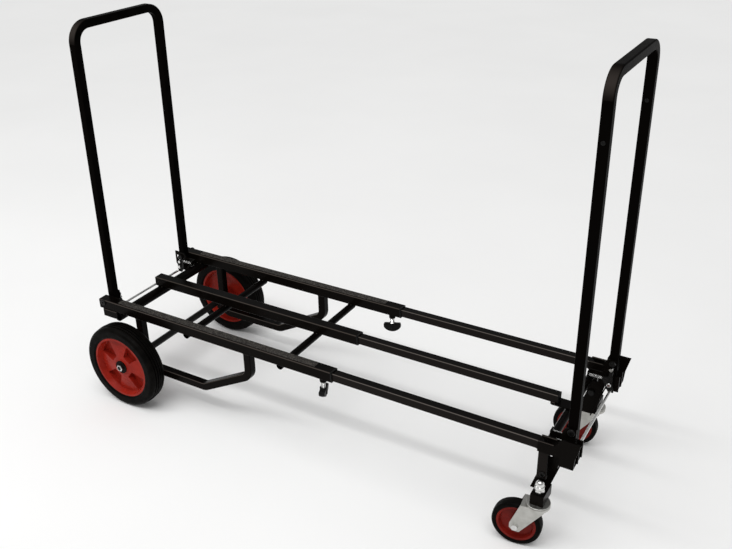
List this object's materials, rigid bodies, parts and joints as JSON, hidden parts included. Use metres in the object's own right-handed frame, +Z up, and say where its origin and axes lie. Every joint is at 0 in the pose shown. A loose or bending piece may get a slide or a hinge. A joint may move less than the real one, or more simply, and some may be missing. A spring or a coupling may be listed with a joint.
{
  "type": "folding stage platform cart",
  "caption": "Folding, telescopic platform cart with square-tube rails, upright folding handles at both ends, large rear wheels and swivel front castors.",
  "frame": {"origin": "on the ground, below the middle of the extended cart", "axes": "+X along the rails from the big wheels to the castors, +Y across to the far side, +Z up"},
  "size_m": [1.29, 0.4842, 0.9945],
  "materials": {
    "black_paint": "smooth gloss black enamel",
    "black_steel": "black oxide",
    "red_plastic": "moulded red, glossy",
    "tyre_rubber": "matt black rubber",
    "zinc": "bright zinc plate",
    "bright_steel": "bright plated steel",
    "black_plastic": "moulded black",
    "grip": "fine grained grip strip"
  },
  "bodies": {
    "rear_frame": {"near_outer_rail": "black_paint", "far_outer_rail": "black_paint", "centre_outer_rail": "black_paint", "rail_end_caps": "black_plastic", "grip_strips": "grip", "tube_bushes": "black_plastic", "rear_cross_tube": "black_paint", "middle_cross_tube": "black_paint", "near_axle_carrier": "black_paint", "far_axle_carrier": "black_paint", "carrier_cross_tube": "black_paint", "wheel_axle": "black_steel", "axle_washers": "black_steel", "axle_nuts": "bright_steel", "near_rear_bracket": "black_paint", "far_rear_bracket": "black_paint", "rear_pivot_bolts": "black_steel", "rear_lever_bolts": "bright_steel", "rear_latch_spring": "bright_steel", "clamp_bosses": "black_paint"},
    "front_frame": {"near_inner_rail": "black_paint", "far_inner_rail": "black_paint", "centre_inner_rail": "black_paint", "inner_rail_guides": "black_plastic", "inner_tube_caps": "black_plastic", "front_cross_tube": "black_paint", "centre_support_plate": "black_paint", "near_front_bracket": "black_paint", "far_front_bracket": "black_paint", "castor_arms": "black_paint", "castor_arm_bolts": "black_steel", "castor_stems": "zinc", "castor_stem_nuts": "bright_steel", "front_pivot_bolts": "black_steel", "front_lever_bolts": "bright_steel", "front_latch_springs": "bright_steel"},
    "rear_handle": {"rear_handle_tube": "black_paint", "rear_lock_pins": "bright_steel"},
    "front_handle": {"front_handle_tube": "black_paint", "front_lock_pins": "bright_steel"},
    "rear_release": {"rear_release_rod": "bright_steel", "rear_latch_levers": "black_steel"},
    "front_release": {"front_release_rod": "bright_steel", "front_latch_levers": "black_steel"},
    "near_wheel": {"near_tyre": "tyre_rubber", "near_hub": "red_plastic"},
    "far_wheel": {"far_tyre": "tyre_rubber", "far_hub": "red_plastic"},
    "near_castor": {"near_castor_fork": "zinc", "near_castor_axle": "bright_steel"},
    "far_castor": {"far_castor_fork": "zinc", "far_castor_axle": "bright_steel"},
    "near_castor_wheel": {"near_castor_tyre": "tyre_rubber", "near_castor_hub": "red_plastic"},
    "far_castor_wheel": {"far_castor_tyre": "tyre_rubber", "far_castor_hub": "red_plastic"},
    "near_clamp": {"near_clamp_knob": "black_plastic", "near_clamp_screw": "bright_steel"},
    "far_clamp": {"far_clamp_knob": "black_plastic", "far_clamp_screw": "bright_steel"}
  },
  "joints": [
    {"name": "frame_slide", "type": "slide", "parent": "rear_frame", "child": "front_frame", "axis": [1, 0, 0], "range_m": [-0.42, 0]},
    {"name": "rear_handle_fold", "type": "hinge", "parent": "rear_frame", "child": "rear_handle", "pos_m": [-0.623, 0, 0.252], "axis": [0, 1, 0], "range_deg": [0, 87.8]},
    {"name": "front_handle_fold", "type": "hinge", "parent": "front_frame", "child": "front_handle", "pos_m": [0.617, 0, 0.283], "axis": [0, -1, 0], "range_deg": [0, 86.2]},
    {"name": "rear_release_turn", "type": "hinge", "parent": "rear_frame", "child": "rear_release", "pos_m": [-0.623, 0, 0.225], "axis": [0, -1, 0], "range_deg": [0, 15], "stiffness_Nm_per_rad": 0.8, "springref_deg": -17.19, "deforming": ["rear_latch_spring"]},
    {"name": "front_release_turn", "type": "hinge", "parent": "front_frame", "child": "front_release", "pos_m": [0.617, 0, 0.233], "axis": [0, 1, 0], "range_deg": [0, 15], "stiffness_Nm_per_rad": 0.8, "springref_deg": -17.19, "deforming": ["front_latch_springs"]},
    {"name": "near_wheel_spin", "type": "hinge", "parent": "rear_frame", "child": "near_wheel", "pos_m": [-0.531, 0, 0.114], "axis": [0, 1, 0], "continuous": true},
    {"name": "far_wheel_spin", "type": "hinge", "parent": "rear_frame", "child": "far_wheel", "pos_m": [-0.531, 0, 0.114], "axis": [0, 1, 0], "continuous": true},
    {"name": "near_castor_swivel", "type": "hinge", "parent": "front_frame", "child": "near_castor", "pos_m": [0.575, -0.188, 0.1], "axis": [0, 0, 1], "continuous": true},
    {"name": "far_castor_swivel", "type": "hinge", "parent": "front_frame", "child": "far_castor", "pos_m": [0.575, 0.188, 0.1], "axis": [0, 0, 1], "continuous": true},
    {"name": "near_castor_spin", "type": "hinge", "parent": "near_castor", "child": "near_castor_wheel", "pos_m": [0.53522, -0.19218, 0.053], "axis": [-0.1045, 0.9945, 0], "continuous": true},
    {"name": "far_castor_spin", "type": "hinge", "parent": "far_castor", "child": "far_castor_wheel", "pos_m": [0.53502, 0.1866, 0.053], "axis": [-0.0349, 0.9994, 0], "continuous": true},
    {"name": "near_clamp_turn", "type": "hinge", "parent": "rear_frame", "child": "near_clamp", "pos_m": [0.046, -0.1635, 0.2], "axis": [0, 0, 1], "range_deg": [0, 360]},
    {"name": "far_clamp_turn", "type": "hinge", "parent": "rear_frame", "child": "far_clamp", "pos_m": [0.046, 0.1635, 0.2], "axis": [0, 0, 1], "range_deg": [0, 360]}
  ]
}
